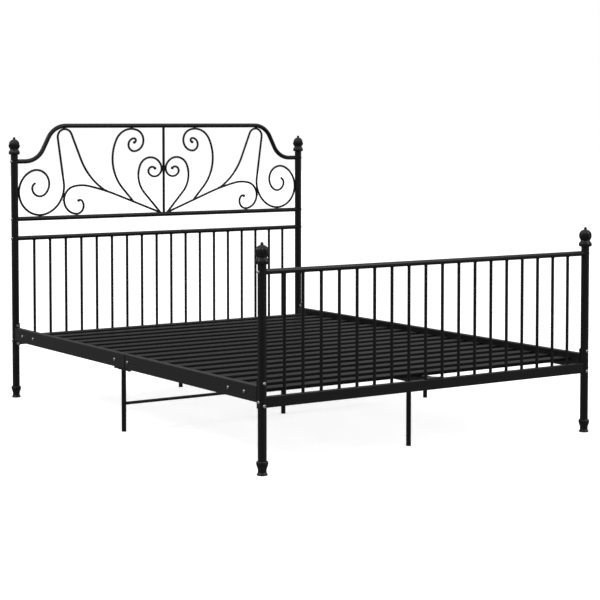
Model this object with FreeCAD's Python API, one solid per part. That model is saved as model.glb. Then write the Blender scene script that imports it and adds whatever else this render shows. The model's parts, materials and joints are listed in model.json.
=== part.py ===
"""Metal double bed frame: scrolled headboard, plain footboard, slatted deck on side rails.

Frame of the model: origin on the floor under the middle of the bed, +Z up, +Y towards the
headboard, +X to the right of someone standing at the foot end and facing the headboard.
All sizes are millimetres.  Tubes are hollow with real walls; scroll rods and bolts are solid.
"""
import FreeCAD, Part
import math
import os

# ---- driving dimensions ---------------------------------------------------------------------
POST_SPACING = 1531.0        # between post centres, side to side
END_SPACING = 2068.0         # between post centres, head to foot
POST_DIA = 32.0
POST_WALL = 1.5
HEAD_POST_TOP = 1096.0
FOOT_POST_TOP = 746.0
POST_BOTTOM = 30.0           # the tube stands on a step inside its plastic foot

RAIL_DIA = 20.0              # round cross tubes of both end boards
RAIL_WALL = 1.2
ARCH_TOP = 1225.0            # centre height of the arched rail's straight middle
ARCH_SHOULDER = 1065.0       # centre height where the arched rail meets the posts
ARCH_SHOULDER_RUN = 38.0     # straight stub beside each post
ARCH_BEND_RADIUS = 98.0
ARCH_BEND_ANGLE = 63.0
UPPER_RAIL_HEIGHT = 806.0
LOWER_RAIL_HEIGHT = 719.0    # lower headboard rail and footboard top rail are level
END_RAIL_TOP = 279.0         # flat bottom tube of both end boards
END_RAIL_HEIGHT = 40.0
END_RAIL_DEPTH = 20.0
END_RAIL_WALL = 1.5
END_RAIL_CORNER = 3.0

SPINDLE_COUNT = 18
SPINDLE_PITCH = 79.0
SPINDLE_DIA = 12.0
SPINDLE_WALL = 1.0
SCROLL_DIA = 10.0
SCROLL_BEAD_DIA = 14.0       # hammered bead that finishes most scroll ends
WELD_GAP = 0.05              # touching round rods stay this far apart

SIDE_RAIL_HEIGHT = 60.0
SIDE_RAIL_WIDTH = 25.0
SIDE_RAIL_WALL = 1.5
SIDE_RAIL_CORNER = 4.0
SIDE_RAIL_MIDDLE = 286.5     # centre height of the side rails and the slats
SADDLE_THICKNESS = 4.0
SADDLE_HEIGHT = 100.0
SADDLE_HALF_ANGLE = 48.0
SADDLE_BOLT_SPACING = 80.0
SEAM_OFFSET = -31.0          # the two halves of a side rail meet here, along Y
SEAM_GAP = 5.0
SLEEVE_LENGTH = 150.0
JOINT_PLATE_LENGTH = 120.0
JOINT_PLATE_THICKNESS = 5.0

SLAT_COUNT = 18
SLAT_PITCH = 110.0
SLAT_WIDTH = 50.0
SLAT_HEIGHT = 15.0
SLAT_WALL = 0.9
SLAT_CORNER = 3.0
BOLTED_SLATS = (0, 1, 8, 9, 16, 17)
SLAT_INSERT_LENGTH = 20.0
SLAT_CAP_FLANGE = 3.0
SLAT_PEG_DIA = 8.0
SLAT_PEG_LENGTH = 8.0

LEG_DIA = 19.0
LEG_WALL = 1.5
LEG_CAP_THICKNESS = 5.0
LEG_CAP_PLUG = 15.0
CROSSBAR_DIA = 12.7
CROSSBAR_WALL = 1.2
CROSSBAR_HEIGHT = 113.4
CENTRE_LEG_OFFSET = 879.0
BEAM_WIDTH = 25.0
BEAM_HEIGHT = 30.0
BEAM_WALL = 1.5
BEAM_CORNER = 3.0
BRACKET_THICKNESS = 4.0
BRACKET_WIDTH = 80.0
BRACKET_TONGUE_REACH = 66.0  # from the post line towards the middle of the bed
BEAM_BOLT_REACH = 53.0
BARREL_DIA = 16.0
BARREL_LENGTH = 46.0

FRAME_BOLT_DIA = 8.0
SMALL_BOLT_DIA = 6.0
BOLT_HEAD_DIA = 13.0
BOLT_HEAD_HEIGHT = 4.5
NUT_FLATS = 13.0
NUT_HEIGHT = 6.5
RAIL_INSERT_LENGTH = 25.0
FIT_CLEARANCE = 0.15         # radial play of a bolt in a drilled hole

# ---- values worked out from them ------------------------------------------------------------
POST_X = POST_SPACING / 2.0
END_Y = END_SPACING / 2.0
POST_RADIUS = POST_DIA / 2.0
POST_BORE_RADIUS = POST_RADIUS - POST_WALL
RAIL_RADIUS = RAIL_DIA / 2.0
SCROLL_RADIUS = SCROLL_DIA / 2.0
END_RAIL_MIDDLE = END_RAIL_TOP - END_RAIL_HEIGHT / 2.0
SADDLE_RADIUS = POST_RADIUS + SADDLE_THICKNESS
SIDE_RAIL_TOP = SIDE_RAIL_MIDDLE + SIDE_RAIL_HEIGHT / 2.0
SIDE_RAIL_BOTTOM = SIDE_RAIL_MIDDLE - SIDE_RAIL_HEIGHT / 2.0
SLAT_BOTTOM = SIDE_RAIL_MIDDLE - SLAT_HEIGHT / 2.0
SLAT_END_X = POST_X - SIDE_RAIL_WIDTH / 2.0
BEAM_BOTTOM = SLAT_BOTTOM - BEAM_HEIGHT
SIDES = (("left", -1.0), ("right", 1.0))
ENDS = (("foot", -1.0), ("head", 1.0))

UP = FreeCAD.Vector(0, 0, 1)
ALONG_X = FreeCAD.Vector(1, 0, 0)
ALONG_Y = FreeCAD.Vector(0, 1, 0)
FULL_TURN = 360.0


# ---- small shape builders -------------------------------------------------------------------
def vec(x, y, z):
    return FreeCAD.Vector(x, y, z)


def rod(start, direction, length, diameter):
    """Solid round bar from a start point along a direction."""
    return Part.makeCylinder(diameter / 2.0, length, start, direction)


def tube(start, direction, length, diameter, wall):
    """Round tube with open ends."""
    outer = rod(start, direction, length, diameter)
    return outer.cut(rod(start, direction, length, diameter - 2.0 * wall))


def box(centre, size_x, size_y, size_z):
    """Solid box about a centre point."""
    corner = centre - vec(size_x / 2.0, size_y / 2.0, size_z / 2.0)
    return Part.makeBox(size_x, size_y, size_z, corner)


def rounded_bar(centre, size_x, size_y, size_z, run, corner):
    """Solid bar about a centre point, with rounded edges along its run."""
    blank = box(centre, size_x, size_y, size_z)
    long_edges = [edge for edge in blank.Edges
                  if abs(edge.tangentAt(edge.FirstParameter).dot(run)) > 0.5]
    return blank.makeFillet(corner, long_edges)


def flat_tube_x(centre, length, depth, height, wall, corner):
    """Flat-sided tube with rounded edges that runs along X."""
    inside = rounded_bar(centre, length, depth - 2.0 * wall, height - 2.0 * wall, ALONG_X, corner - wall)
    return rounded_bar(centre, length, depth, height, ALONG_X, corner).cut(inside)


def flat_tube_y(centre, length, width, height, wall, corner):
    """Flat-sided tube with rounded edges that runs along Y."""
    inside = rounded_bar(centre, width - 2.0 * wall, length, height - 2.0 * wall, ALONG_Y, corner - wall)
    return rounded_bar(centre, width, length, height, ALONG_Y, corner).cut(inside)


def hexagon_bar(start, direction, length, across_flats):
    """Six-sided bar, such as a nut blank."""
    corner_radius = across_flats / math.sqrt(3.0)
    outline = Part.makePolygon(
        [vec(corner_radius * math.cos(math.radians(60.0 * n)),
             corner_radius * math.sin(math.radians(60.0 * n)), 0) for n in range(7)])
    bar = Part.Face(outline).extrude(vec(0, 0, length))
    bar.Placement = FreeCAD.Placement(start, FreeCAD.Rotation(UP, direction))
    return bar


def dome_bolt(seat, direction, length, diameter):
    """Round-headed bolt: the shank leaves the seat point along the direction."""
    head_radius = BOLT_HEAD_DIA / 2.0
    cap_radius = (head_radius ** 2 + BOLT_HEAD_HEIGHT ** 2) / (2.0 * BOLT_HEAD_HEIGHT)
    cap_centre = seat + direction * (cap_radius - BOLT_HEAD_HEIGHT)
    head = Part.makeSphere(cap_radius, cap_centre)
    keep = rod(seat - direction * BOLT_HEAD_HEIGHT * 2.0, direction,
               BOLT_HEAD_HEIGHT * 2.0, BOLT_HEAD_DIA * 2.0)
    return head.common(keep).fuse(rod(seat, direction, length, diameter)).removeSplitter()


def drill(shape, start, direction, length, diameter):
    """Take a bolt's clearance hole out of a shape."""
    return shape.cut(rod(start, direction, length, diameter + 2.0 * FIT_CLEARANCE))


def mirrored(shape):
    """The same shape on the other side of the bed's middle line."""
    return shape.mirror(vec(0, 0, 0), ALONG_X)


def save(name, shapes):
    """Write one node, which is one solid or a group of like solids."""
    group = shapes if isinstance(shapes, list) else [shapes]
    solids = [solid for shape in group for solid in shape.Solids]
    node = solids[0] if len(solids) == 1 else Part.makeCompound(solids)
    node.exportStep("parts/" + name + ".step")


# ---- bent rods ------------------------------------------------------------------------------
def bent_path(start, heading, steps):
    """Edges of a bending programme in the XZ plane.

    Each step is a pair (radius, turn in degrees, left turns positive), or (None, length) for a
    straight run.  Every edge starts along the heading in which the last one ended.
    """
    edges = []
    point = start
    angle = math.radians(heading)
    for radius, amount in steps:
        forward = vec(math.cos(angle), 0, math.sin(angle))
        if radius is None:
            following = point + forward * amount
            edges.append(Part.LineSegment(point, following).toShape())
        else:
            turn = math.radians(amount)
            side = math.copysign(1.0, turn)
            centre = point + vec(-math.sin(angle), 0, math.cos(angle)) * (side * radius)

            def on_arc(share):
                spot = angle + turn * share - side * math.pi / 2.0
                return centre + vec(math.cos(spot), 0, math.sin(spot)) * radius

            following = on_arc(1.0)
            edges.append(Part.Arc(point, on_arc(0.5), following).toShape())
            angle += turn
        point = following
    return Part.Wire(edges), vec(math.cos(math.radians(heading)), 0, math.sin(math.radians(heading)))


def swept(path, direction, diameter):
    """Solid round rod along a path that starts in the given direction."""
    start = path.Edges[0].firstVertex(True).Point
    circle = Part.Wire(Part.makeCircle(diameter / 2.0, start, direction))
    return path.makePipe(Part.Face(circle))


def scroll(start, heading, steps, bead):
    """Scroll rod, with or without a round bead on its inner end."""
    path, direction = bent_path(start, heading, steps)
    shape = swept(path, direction, SCROLL_DIA)
    if bead:
        shape = shape.fuse(Part.makeSphere(SCROLL_BEAD_DIA / 2.0, start)).removeSplitter()
    return shape


# ---- end boards -----------------------------------------------------------------------------
def post(side, end, top):
    """Corner post, drilled for its side-rail bolts and for the bolts of its cross rails."""
    foot = vec(side * POST_X, end * END_Y, POST_BOTTOM)
    shape = tube(foot, UP, top - POST_BOTTOM, POST_DIA, POST_WALL)
    for height in saddle_bolt_heights():
        start = vec(side * POST_X, end * END_Y - POST_DIA, height)
        shape = drill(shape, start, ALONG_Y, 2.0 * POST_DIA, FRAME_BOLT_DIA)
    for height in cross_rail_heights(end):
        start = vec(side * POST_X - POST_DIA, end * END_Y, height)
        shape = drill(shape, start, ALONG_X, 2.0 * POST_DIA, SMALL_BOLT_DIA)
    return shape


def saddle_bolt_heights():
    return [SIDE_RAIL_MIDDLE + way * SADDLE_BOLT_SPACING / 2.0 for way in (-1.0, 1.0)]


def cross_rail_heights(end):
    """Heights at which rails of the headboard or the footboard are bolted to the posts."""
    if end > 0:
        return [END_RAIL_MIDDLE, LOWER_RAIL_HEIGHT, UPPER_RAIL_HEIGHT, ARCH_SHOULDER]
    return [END_RAIL_MIDDLE, LOWER_RAIL_HEIGHT]


def cope_to_posts(shape, end):
    """Cut both ends of a cross rail to the round of the posts."""
    for _, side in SIDES:
        foot = vec(side * POST_X, end * END_Y, 0)
        shape = shape.cut(rod(foot, UP, ARCH_TOP, POST_DIA))
    return shape


def tap_rail_ends(shape, end, height):
    """Drill the welded-in end inserts for the cross-rail bolts."""
    reach = POST_RADIUS + RAIL_INSERT_LENGTH
    for _, side in SIDES:
        start = vec(side * POST_X, end * END_Y, height)
        shape = shape.cut(rod(start, ALONG_X * -side, reach, SMALL_BOLT_DIA))
    return shape


def straight_rail(end, height):
    """Round cross rail between the posts, with threaded inserts welded into its ends."""
    start = vec(-POST_X, end * END_Y, height)
    shape = tube(start, ALONG_X, POST_SPACING, RAIL_DIA, RAIL_WALL)
    for _, side in SIDES:
        insert_start = vec(side * POST_X, end * END_Y, height)
        insert = rod(insert_start, ALONG_X * -side, POST_RADIUS + RAIL_INSERT_LENGTH, RAIL_DIA)
        shape = shape.fuse(insert)
    return tap_rail_ends(cope_to_posts(shape.removeSplitter(), end), end, height)


def flat_rail(end):
    """Flat bottom tube of an end board, with threaded inserts welded into its ends."""
    centre = vec(0, end * END_Y, END_RAIL_MIDDLE)
    shape = flat_tube_x(centre, POST_SPACING, END_RAIL_DEPTH, END_RAIL_HEIGHT, END_RAIL_WALL,
                        END_RAIL_CORNER)
    insert_length = POST_RADIUS + RAIL_INSERT_LENGTH
    for _, side in SIDES:
        insert_centre = centre + vec(side * (POST_X - insert_length / 2.0), 0, 0)
        insert = rounded_bar(insert_centre, insert_length, END_RAIL_DEPTH, END_RAIL_HEIGHT, ALONG_X,
                             END_RAIL_CORNER)
        shape = shape.fuse(insert)
    return tap_rail_ends(cope_to_posts(shape.removeSplitter(), end), end, END_RAIL_MIDDLE)


def arched_rail():
    """Top rail of the headboard: level in the middle, falling in an S to each post."""
    rise = ARCH_TOP - ARCH_SHOULDER
    bend = math.radians(ARCH_BEND_ANGLE)
    slope = (rise - 2.0 * ARCH_BEND_RADIUS * (1.0 - math.cos(bend))) / math.sin(bend)
    bend_reach = 2.0 * ARCH_BEND_RADIUS * math.sin(bend) + slope * math.cos(bend)
    shoulder = POST_RADIUS + ARCH_SHOULDER_RUN
    middle = POST_SPACING - 2.0 * (shoulder + bend_reach)
    up_bend = [(ARCH_BEND_RADIUS, ARCH_BEND_ANGLE), (None, slope), (ARCH_BEND_RADIUS, -ARCH_BEND_ANGLE)]
    down_bend = [(ARCH_BEND_RADIUS, -ARCH_BEND_ANGLE), (None, slope), (ARCH_BEND_RADIUS, ARCH_BEND_ANGLE)]
    steps = [(None, shoulder)] + up_bend + [(None, middle)] + down_bend + [(None, shoulder)]
    path, direction = bent_path(vec(-POST_X, END_Y, ARCH_SHOULDER), 0.0, steps)
    shape = swept(path, direction, RAIL_DIA)
    shape = shape.cut(swept(path, direction, RAIL_DIA - 2.0 * RAIL_WALL))
    for _, side in SIDES:
        insert_start = vec(side * POST_X, END_Y, ARCH_SHOULDER)
        insert = rod(insert_start, ALONG_X * -side, POST_RADIUS + RAIL_INSERT_LENGTH, RAIL_DIA)
        shape = shape.fuse(insert)
    return tap_rail_ends(cope_to_posts(shape.removeSplitter(), 1.0), 1.0, ARCH_SHOULDER)


def spindles(end):
    """Row of upright spindles between the flat bottom rail and the round rail above it."""
    rail = rod(vec(-POST_X, end * END_Y, LOWER_RAIL_HEIGHT), ALONG_X, POST_SPACING, RAIL_DIA)
    row = []
    for number in range(SPINDLE_COUNT):
        x = (number - (SPINDLE_COUNT - 1) / 2.0) * SPINDLE_PITCH
        foot = vec(x, end * END_Y, END_RAIL_TOP)
        length = LOWER_RAIL_HEIGHT - END_RAIL_TOP
        row.append(tube(foot, UP, length, SPINDLE_DIA, SPINDLE_WALL).cut(rail))
    return row


def centre_bar():
    """Upright bar in the middle of the scrollwork."""
    foot = vec(0, END_Y, UPPER_RAIL_HEIGHT)
    shape = rod(foot, UP, ARCH_TOP - UPPER_RAIL_HEIGHT, SPINDLE_DIA)
    for height in (UPPER_RAIL_HEIGHT, ARCH_TOP):
        shape = shape.cut(rod(vec(-POST_X, END_Y, height), ALONG_X, POST_SPACING, RAIL_DIA))
    return shape


# ---- scrollwork: left half, mirrored for the right --------------------------------------------
LOWEST_SCROLL_CENTRE = UPPER_RAIL_HEIGHT + RAIL_RADIUS + SCROLL_RADIUS + WELD_GAP
HIGHEST_SCROLL_CENTRE = ARCH_TOP - RAIL_RADIUS - SCROLL_RADIUS - WELD_GAP
LEFTMOST_SCROLL_CENTRE = -POST_X + POST_RADIUS + SCROLL_RADIUS + WELD_GAP

OUTER_HEADING = 202.0
OUTER_VOLUTE = [(25.0, 75.0), (38.0, 125.0), (63.0, 163.0), (104.0, 178.0), (130.0, 75.0)]
OUTER_LOOP_RADIUS = 36.0
OUTER_LOOP_TURN = -166.0
OUTER_TAIL = [(None, 124.0), (306.0, 40.0)]
OUTER_LOOP_DROP = 0.25       # the arched rail has begun to bend where the loop touches it
LOWER_HEADING = 34.0
LOWER_STEPS = [(13.0, -86.0), (36.0, -130.0), (64.0, -166.0), (177.0, -25.0), (1080.0, -8.0),
               (None, 300.0)]
LOWER_START_X = -446.9
UPPER_HEADING = 9.0
UPPER_STEPS = [(9.5, 172.0), (30.0, 184.0), (51.0, 154.0), (87.0, 85.0), (207.0, 68.0), (None, 110.0)]
UPPER_START_X = -156.0
HEART_HEADING = 131.0
HEART_STEPS = [(20.0, 183.0), (38.0, 158.0), (61.0, 137.0), (124.0, 63.0), (None, 140.0)]
HEART_START_Z = 1024.0


def path_box(heading, steps):
    """Bounding box of a bending programme that starts at the origin."""
    path, _ = bent_path(vec(0, 0, 0), heading, steps)
    return path.optimalBoundingBox(False, False)


def outer_scroll():
    """Big scroll: it touches the post, the upper rail and, with its tall loop, the top rail."""
    volute = path_box(OUTER_HEADING, OUTER_VOLUTE)
    start = vec(LEFTMOST_SCROLL_CENTRE - volute.XMin, END_Y, LOWEST_SCROLL_CENTRE - volute.ZMin)
    end_heading = math.radians(OUTER_HEADING + sum(turn for _, turn in OUTER_VOLUTE))
    neck_path, _ = bent_path(start, OUTER_HEADING, OUTER_VOLUTE)
    neck_base = neck_path.Edges[-1].lastVertex(True).Point.z
    loop_rise = OUTER_LOOP_RADIUS * (1.0 - math.cos(end_heading))
    neck = (HIGHEST_SCROLL_CENTRE - OUTER_LOOP_DROP - neck_base - loop_rise) / math.sin(end_heading)
    steps = OUTER_VOLUTE + [(None, neck), (OUTER_LOOP_RADIUS, OUTER_LOOP_TURN)] + OUTER_TAIL
    return scroll(start, OUTER_HEADING, steps, False)


def lower_scroll():
    """Low scroll that rolls on the upper rail and runs down to the foot of the centre bar."""
    curl = path_box(LOWER_HEADING, LOWER_STEPS[:3])
    start = vec(LOWER_START_X, END_Y, LOWEST_SCROLL_CENTRE - curl.ZMin)
    return scroll(start, LOWER_HEADING, LOWER_STEPS, True)


def upper_scroll():
    """Inner scroll that hangs from the top rail and lands on the low scroll."""
    whole = path_box(UPPER_HEADING, UPPER_STEPS)
    start = vec(UPPER_START_X, END_Y, HIGHEST_SCROLL_CENTRE - whole.ZMax)
    return scroll(start, UPPER_HEADING, UPPER_STEPS, True)


def heart_scroll():
    """Half of the heart around the centre bar."""
    whole = path_box(HEART_HEADING, HEART_STEPS[:3])
    bar_side = -SPINDLE_DIA / 2.0 - SCROLL_RADIUS - WELD_GAP
    start = vec(bar_side - whole.XMax, END_Y, HEART_START_Z)
    return scroll(start, HEART_HEADING, HEART_STEPS, True)


def scrollwork():
    """Trim each scroll where it lands, and write the left and right halves."""
    upper_rail = rod(vec(-POST_X, END_Y, UPPER_RAIL_HEIGHT), ALONG_X, POST_SPACING, RAIL_DIA)
    bar = rod(vec(0, END_Y, UPPER_RAIL_HEIGHT), UP, ARCH_TOP - UPPER_RAIL_HEIGHT, SPINDLE_DIA)
    right_half = box(vec(POST_X, END_Y, ARCH_TOP), POST_SPACING, POST_DIA, ARCH_TOP * 2.0)
    lower = biggest(lower_scroll().cut(upper_rail.fuse(bar).fuse(right_half)))
    pieces = {"lower_scroll": lower}
    for name, shape in (("outer_scroll", outer_scroll()), ("upper_scroll", upper_scroll()),
                        ("heart_scroll", heart_scroll())):
        pieces[name] = biggest(shape.cut(lower.fuse(bar).fuse(upper_rail).fuse(right_half)))
    for name, shape in pieces.items():
        save(name + "_left", shape)
        save(name + "_right", mirrored(shape))


def biggest(shape):
    """The largest solid of a trimmed shape; the stub past the landing is dropped."""
    return max(shape.Solids, key=lambda solid: solid.Volume)


# ---- turned plastic ends --------------------------------------------------------------------
FINIAL_STEM = 20.0
FINIAL_RIM = (25.6, 8.5)             # radius and height of the bell's widest place
FINIAL_SHOULDER = (22.6, 17.2)       # where the bell turns hollow on its way to the waist
FINIAL_NECK = (17.8, 24.0)           # radius and height of the waist
FINIAL_BALL = (25.5, 43.0)           # radius and centre height of the ball
FINIAL_TIP = 6.0                     # radius of the tip bead
FINIAL_TIP_STEM = 4.6                # radius of the stem between the ball and the tip bead
FINIAL_HEIGHT = 78.5


def finial():
    """Turned finial with its base at the origin and a stem that plugs into the post."""
    rim_radius, rim_height = FINIAL_RIM
    shoulder_radius, shoulder_height = FINIAL_SHOULDER
    neck_radius, neck_height = FINIAL_NECK
    ball_radius, ball_height = FINIAL_BALL
    tip_height = FINIAL_HEIGHT - FINIAL_TIP
    stem_end = vec(POST_BORE_RADIUS, 0, -FINIAL_STEM)
    stem_top = vec(POST_BORE_RADIUS, 0, 0)
    rim_low = vec(rim_radius - 3.4, 0, 0)
    rim_side = vec(rim_radius, 0, rim_height)
    shoulder = vec(shoulder_radius, 0, shoulder_height)
    waist = vec(neck_radius, 0, neck_height)
    edges = [
        Part.LineSegment(vec(0, 0, -FINIAL_STEM), stem_end),
        Part.LineSegment(stem_end, stem_top),
        Part.LineSegment(stem_top, rim_low),
        Part.Arc(rim_low, vec(rim_radius - 0.9, 0, 0.4 * rim_height), rim_side),
        Part.Arc(rim_side, vec(rim_radius - 0.9, 0, rim_height + 4.6), shoulder),
        Part.Arc(shoulder, vec(neck_radius + 1.9, 0, neck_height - 3.0), waist),
        Part.LineSegment(waist, vec(neck_radius, 0, ball_height)),
        Part.LineSegment(vec(neck_radius, 0, ball_height), vec(0, 0, ball_height)),
        Part.LineSegment(vec(0, 0, ball_height), vec(0, 0, -FINIAL_STEM)),
    ]
    outline = Part.Face(Part.Wire([edge.toShape() for edge in edges]))
    base = outline.revolve(vec(0, 0, 0), UP, FULL_TURN)
    ball = Part.makeSphere(ball_radius, vec(0, 0, ball_height))
    stem = rod(vec(0, 0, ball_height), UP, tip_height - ball_height, 2.0 * FINIAL_TIP_STEM)
    tip = Part.makeSphere(FINIAL_TIP, vec(0, 0, tip_height))
    return base.fuse([ball, stem, tip]).removeSplitter()


FOOT_HEIGHT = 51.0
FOOT_BASE_RADIUS = 19.6
FOOT_WAIST = (15.9, 17.0)            # radius and height of the waist
FOOT_BELL = (21.8, 44.5)             # radius and height of the widest place
FOOT_LIP_RADIUS = 18.0


def plastic_foot():
    """Turned foot with a blind socket for the post."""
    waist = vec(FOOT_WAIST[0], 0, FOOT_WAIST[1])
    bell = vec(FOOT_BELL[0], 0, FOOT_BELL[1])
    edges = [
        Part.LineSegment(vec(0, 0, 0), vec(FOOT_BASE_RADIUS - 1.5, 0, 0)),
        Part.Arc(vec(FOOT_BASE_RADIUS - 1.5, 0, 0), vec(FOOT_BASE_RADIUS, 0, 3.0),
                 vec(FOOT_BASE_RADIUS - 1.0, 0, 6.4)),
        Part.Arc(vec(FOOT_BASE_RADIUS - 1.0, 0, 6.4), vec(FOOT_WAIST[0] + 0.8, 0, 10.8), waist),
        Part.Arc(waist, vec(FOOT_WAIST[0] + 4.1, 0, 34.0), bell),
        Part.Arc(bell, vec(FOOT_BELL[0] - 0.8, 0, 48.4), vec(FOOT_LIP_RADIUS, 0, FOOT_HEIGHT)),
        Part.LineSegment(vec(FOOT_LIP_RADIUS, 0, FOOT_HEIGHT), vec(0, 0, FOOT_HEIGHT)),
        Part.LineSegment(vec(0, 0, FOOT_HEIGHT), vec(0, 0, 0)),
    ]
    outline = Part.Face(Part.Wire([edge.toShape() for edge in edges]))
    shape = outline.revolve(vec(0, 0, 0), UP, FULL_TURN)
    return shape.cut(rod(vec(0, 0, POST_BOTTOM), UP, FOOT_HEIGHT, POST_DIA))


# ---- side rails, their saddles and the middle legs --------------------------------------------
def saddle(side, end):
    """Curved plate welded to a rail's end; it hugs the post and takes the two frame bolts."""
    low = SIDE_RAIL_MIDDLE - SADDLE_HEIGHT / 2.0
    centre = vec(side * POST_X, end * END_Y, low)
    inward = -90.0 * end
    first = math.radians(inward - SADDLE_HALF_ANGLE)
    first_way = vec(math.cos(first), math.sin(first), 0)
    profile = Part.makePolygon([centre + first_way * POST_RADIUS,
                                centre + first_way * SADDLE_RADIUS,
                                centre + first_way * SADDLE_RADIUS + UP * SADDLE_HEIGHT,
                                centre + first_way * POST_RADIUS + UP * SADDLE_HEIGHT,
                                centre + first_way * POST_RADIUS])
    shape = Part.Face(profile).revolve(centre, UP, 2.0 * SADDLE_HALF_ANGLE)
    for height in saddle_bolt_heights():
        start = vec(side * POST_X, end * END_Y - POST_DIA, height)
        shape = drill(shape, start, ALONG_Y, 2.0 * POST_DIA, FRAME_BOLT_DIA)
    return shape


def slat_places():
    """Y of every slat with its number."""
    return [(n, (n - (SLAT_COUNT - 1) / 2.0) * SLAT_PITCH) for n in range(SLAT_COUNT)]


def side_rail(side, end):
    """Half of a side rail: from the saddle at its post to the seam near the middle."""
    seam = SEAM_OFFSET + end * SEAM_GAP / 2.0
    post_line = end * END_Y
    centre = vec(side * POST_X, (seam + post_line) / 2.0, SIDE_RAIL_MIDDLE)
    length = abs(post_line - seam)
    shape = flat_tube_y(centre, length, SIDE_RAIL_WIDTH, SIDE_RAIL_HEIGHT, SIDE_RAIL_WALL,
                        SIDE_RAIL_CORNER)
    post_foot = vec(side * POST_X, post_line, 0)
    shape = shape.cut(rod(post_foot, UP, SIDE_RAIL_TOP + POST_DIA, 2.0 * SADDLE_RADIUS))
    if end < 0:
        shape = shape.fuse(rail_sleeve(side)).removeSplitter()
    for number, y in slat_places():
        if (y > SEAM_OFFSET) != (end > 0):
            continue
        outer_face = vec(side * (POST_X + SIDE_RAIL_WIDTH), y, SIDE_RAIL_MIDDLE)
        if number in BOLTED_SLATS:
            shape = drill(shape, outer_face, ALONG_X * -side, 2.0 * SIDE_RAIL_WIDTH, SMALL_BOLT_DIA)
        else:
            middle = vec(side * POST_X, y, SIDE_RAIL_MIDDLE)
            shape = shape.cut(rod(middle, ALONG_X * -side, SIDE_RAIL_WIDTH, SLAT_PEG_DIA))
    for y in joint_bolt_places():
        start = vec(side * POST_X, y, SIDE_RAIL_BOTTOM - SIDE_RAIL_WALL)
        shape = drill(shape, start, UP, 4.0 * SIDE_RAIL_WALL, SMALL_BOLT_DIA)
    return shape


def rail_sleeve(side):
    """Sleeve welded inside the foot half; the head half slides over it."""
    inner_width = SIDE_RAIL_WIDTH - 2.0 * SIDE_RAIL_WALL
    inner_height = SIDE_RAIL_HEIGHT - 2.0 * SIDE_RAIL_WALL
    centre = vec(side * POST_X, SEAM_OFFSET, SIDE_RAIL_MIDDLE)
    corner = SIDE_RAIL_CORNER - SIDE_RAIL_WALL
    return flat_tube_y(centre, SLEEVE_LENGTH, inner_width, inner_height, SIDE_RAIL_WALL, corner)


def joint_bolt_places():
    """Y of the two bolts that clamp the rail halves to the joint plate."""
    return [SEAM_OFFSET - 17.0, SEAM_OFFSET + 62.0]


def joint_plate(side):
    """Plate on top of a middle leg, under both rail halves."""
    centre = vec(side * POST_X, 0, SIDE_RAIL_BOTTOM - JOINT_PLATE_THICKNESS / 2.0)
    shape = box(centre, SIDE_RAIL_WIDTH, JOINT_PLATE_LENGTH, JOINT_PLATE_THICKNESS)
    for y in joint_bolt_places():
        start = vec(side * POST_X, y, SIDE_RAIL_BOTTOM - 2.0 * JOINT_PLATE_THICKNESS)
        shape = drill(shape, start, UP, 3.0 * JOINT_PLATE_THICKNESS, SMALL_BOLT_DIA)
    return shape


def middle_leg(side):
    """Leg welded under the joint plate, with a cross hole for the crossbar's end."""
    foot = vec(side * POST_X, 0, LEG_CAP_THICKNESS)
    length = SIDE_RAIL_BOTTOM - JOINT_PLATE_THICKNESS - LEG_CAP_THICKNESS
    shape = tube(foot, UP, length, LEG_DIA, LEG_WALL)
    inner_side = vec(side * POST_X, 0, CROSSBAR_HEIGHT)
    return shape.cut(rod(inner_side, ALONG_X * -side, LEG_DIA, CROSSBAR_DIA))


def crossbar():
    """Round bar between the middle legs; it passes through the middle centre leg."""
    reach = POST_X - LEG_DIA / 2.0 + LEG_WALL
    start = vec(-reach, 0, CROSSBAR_HEIGHT)
    return tube(start, ALONG_X, 2.0 * reach, CROSSBAR_DIA, CROSSBAR_WALL)


# ---- slats and centre beam --------------------------------------------------------------------
def slat(number, y):
    """One slat; bolted slats have threaded inserts welded into their ends."""
    bolted = number in BOLTED_SLATS
    reach = SLAT_END_X if bolted else SLAT_END_X - SLAT_CAP_FLANGE
    centre = vec(0, y, SIDE_RAIL_MIDDLE)
    shape = flat_tube_x(centre, 2.0 * reach, SLAT_WIDTH, SLAT_HEIGHT, SLAT_WALL, SLAT_CORNER)
    if not bolted:
        return shape
    for _, side in SIDES:
        insert_centre = centre + vec(side * (reach - SLAT_INSERT_LENGTH / 2.0), 0, 0)
        insert = rounded_bar(insert_centre, SLAT_INSERT_LENGTH, SLAT_WIDTH, SLAT_HEIGHT, ALONG_X,
                             SLAT_CORNER)
        hole_start = centre + vec(side * (reach - SLAT_INSERT_LENGTH), 0, 0)
        hole = rod(hole_start, ALONG_X * side, SLAT_INSERT_LENGTH, SMALL_BOLT_DIA)
        shape = shape.fuse(insert).cut(hole)
    return shape.removeSplitter()


def slat_caps():
    """Plastic caps that close the other slats and peg them into the side rails."""
    caps = []
    for number, y in slat_places():
        if number in BOLTED_SLATS:
            continue
        for _, side in SIDES:
            end = vec(side * SLAT_END_X, y, SIDE_RAIL_MIDDLE)
            inward = ALONG_X * -side
            flange = rounded_bar(end + inward * (SLAT_CAP_FLANGE / 2.0),
                                 SLAT_CAP_FLANGE, SLAT_WIDTH, SLAT_HEIGHT, ALONG_X, SLAT_CORNER)
            plug_middle = end + inward * (SLAT_CAP_FLANGE + SLAT_INSERT_LENGTH / 2.0)
            plug = rounded_bar(plug_middle, SLAT_INSERT_LENGTH, SLAT_WIDTH - 2.0 * SLAT_WALL,
                               SLAT_HEIGHT - 2.0 * SLAT_WALL, ALONG_X, SLAT_CORNER - SLAT_WALL)
            peg = rod(end, ALONG_X * side, SLAT_PEG_LENGTH, SLAT_PEG_DIA)
            caps.append(flange.fuse(plug).fuse(peg).removeSplitter())
    return caps


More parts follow.
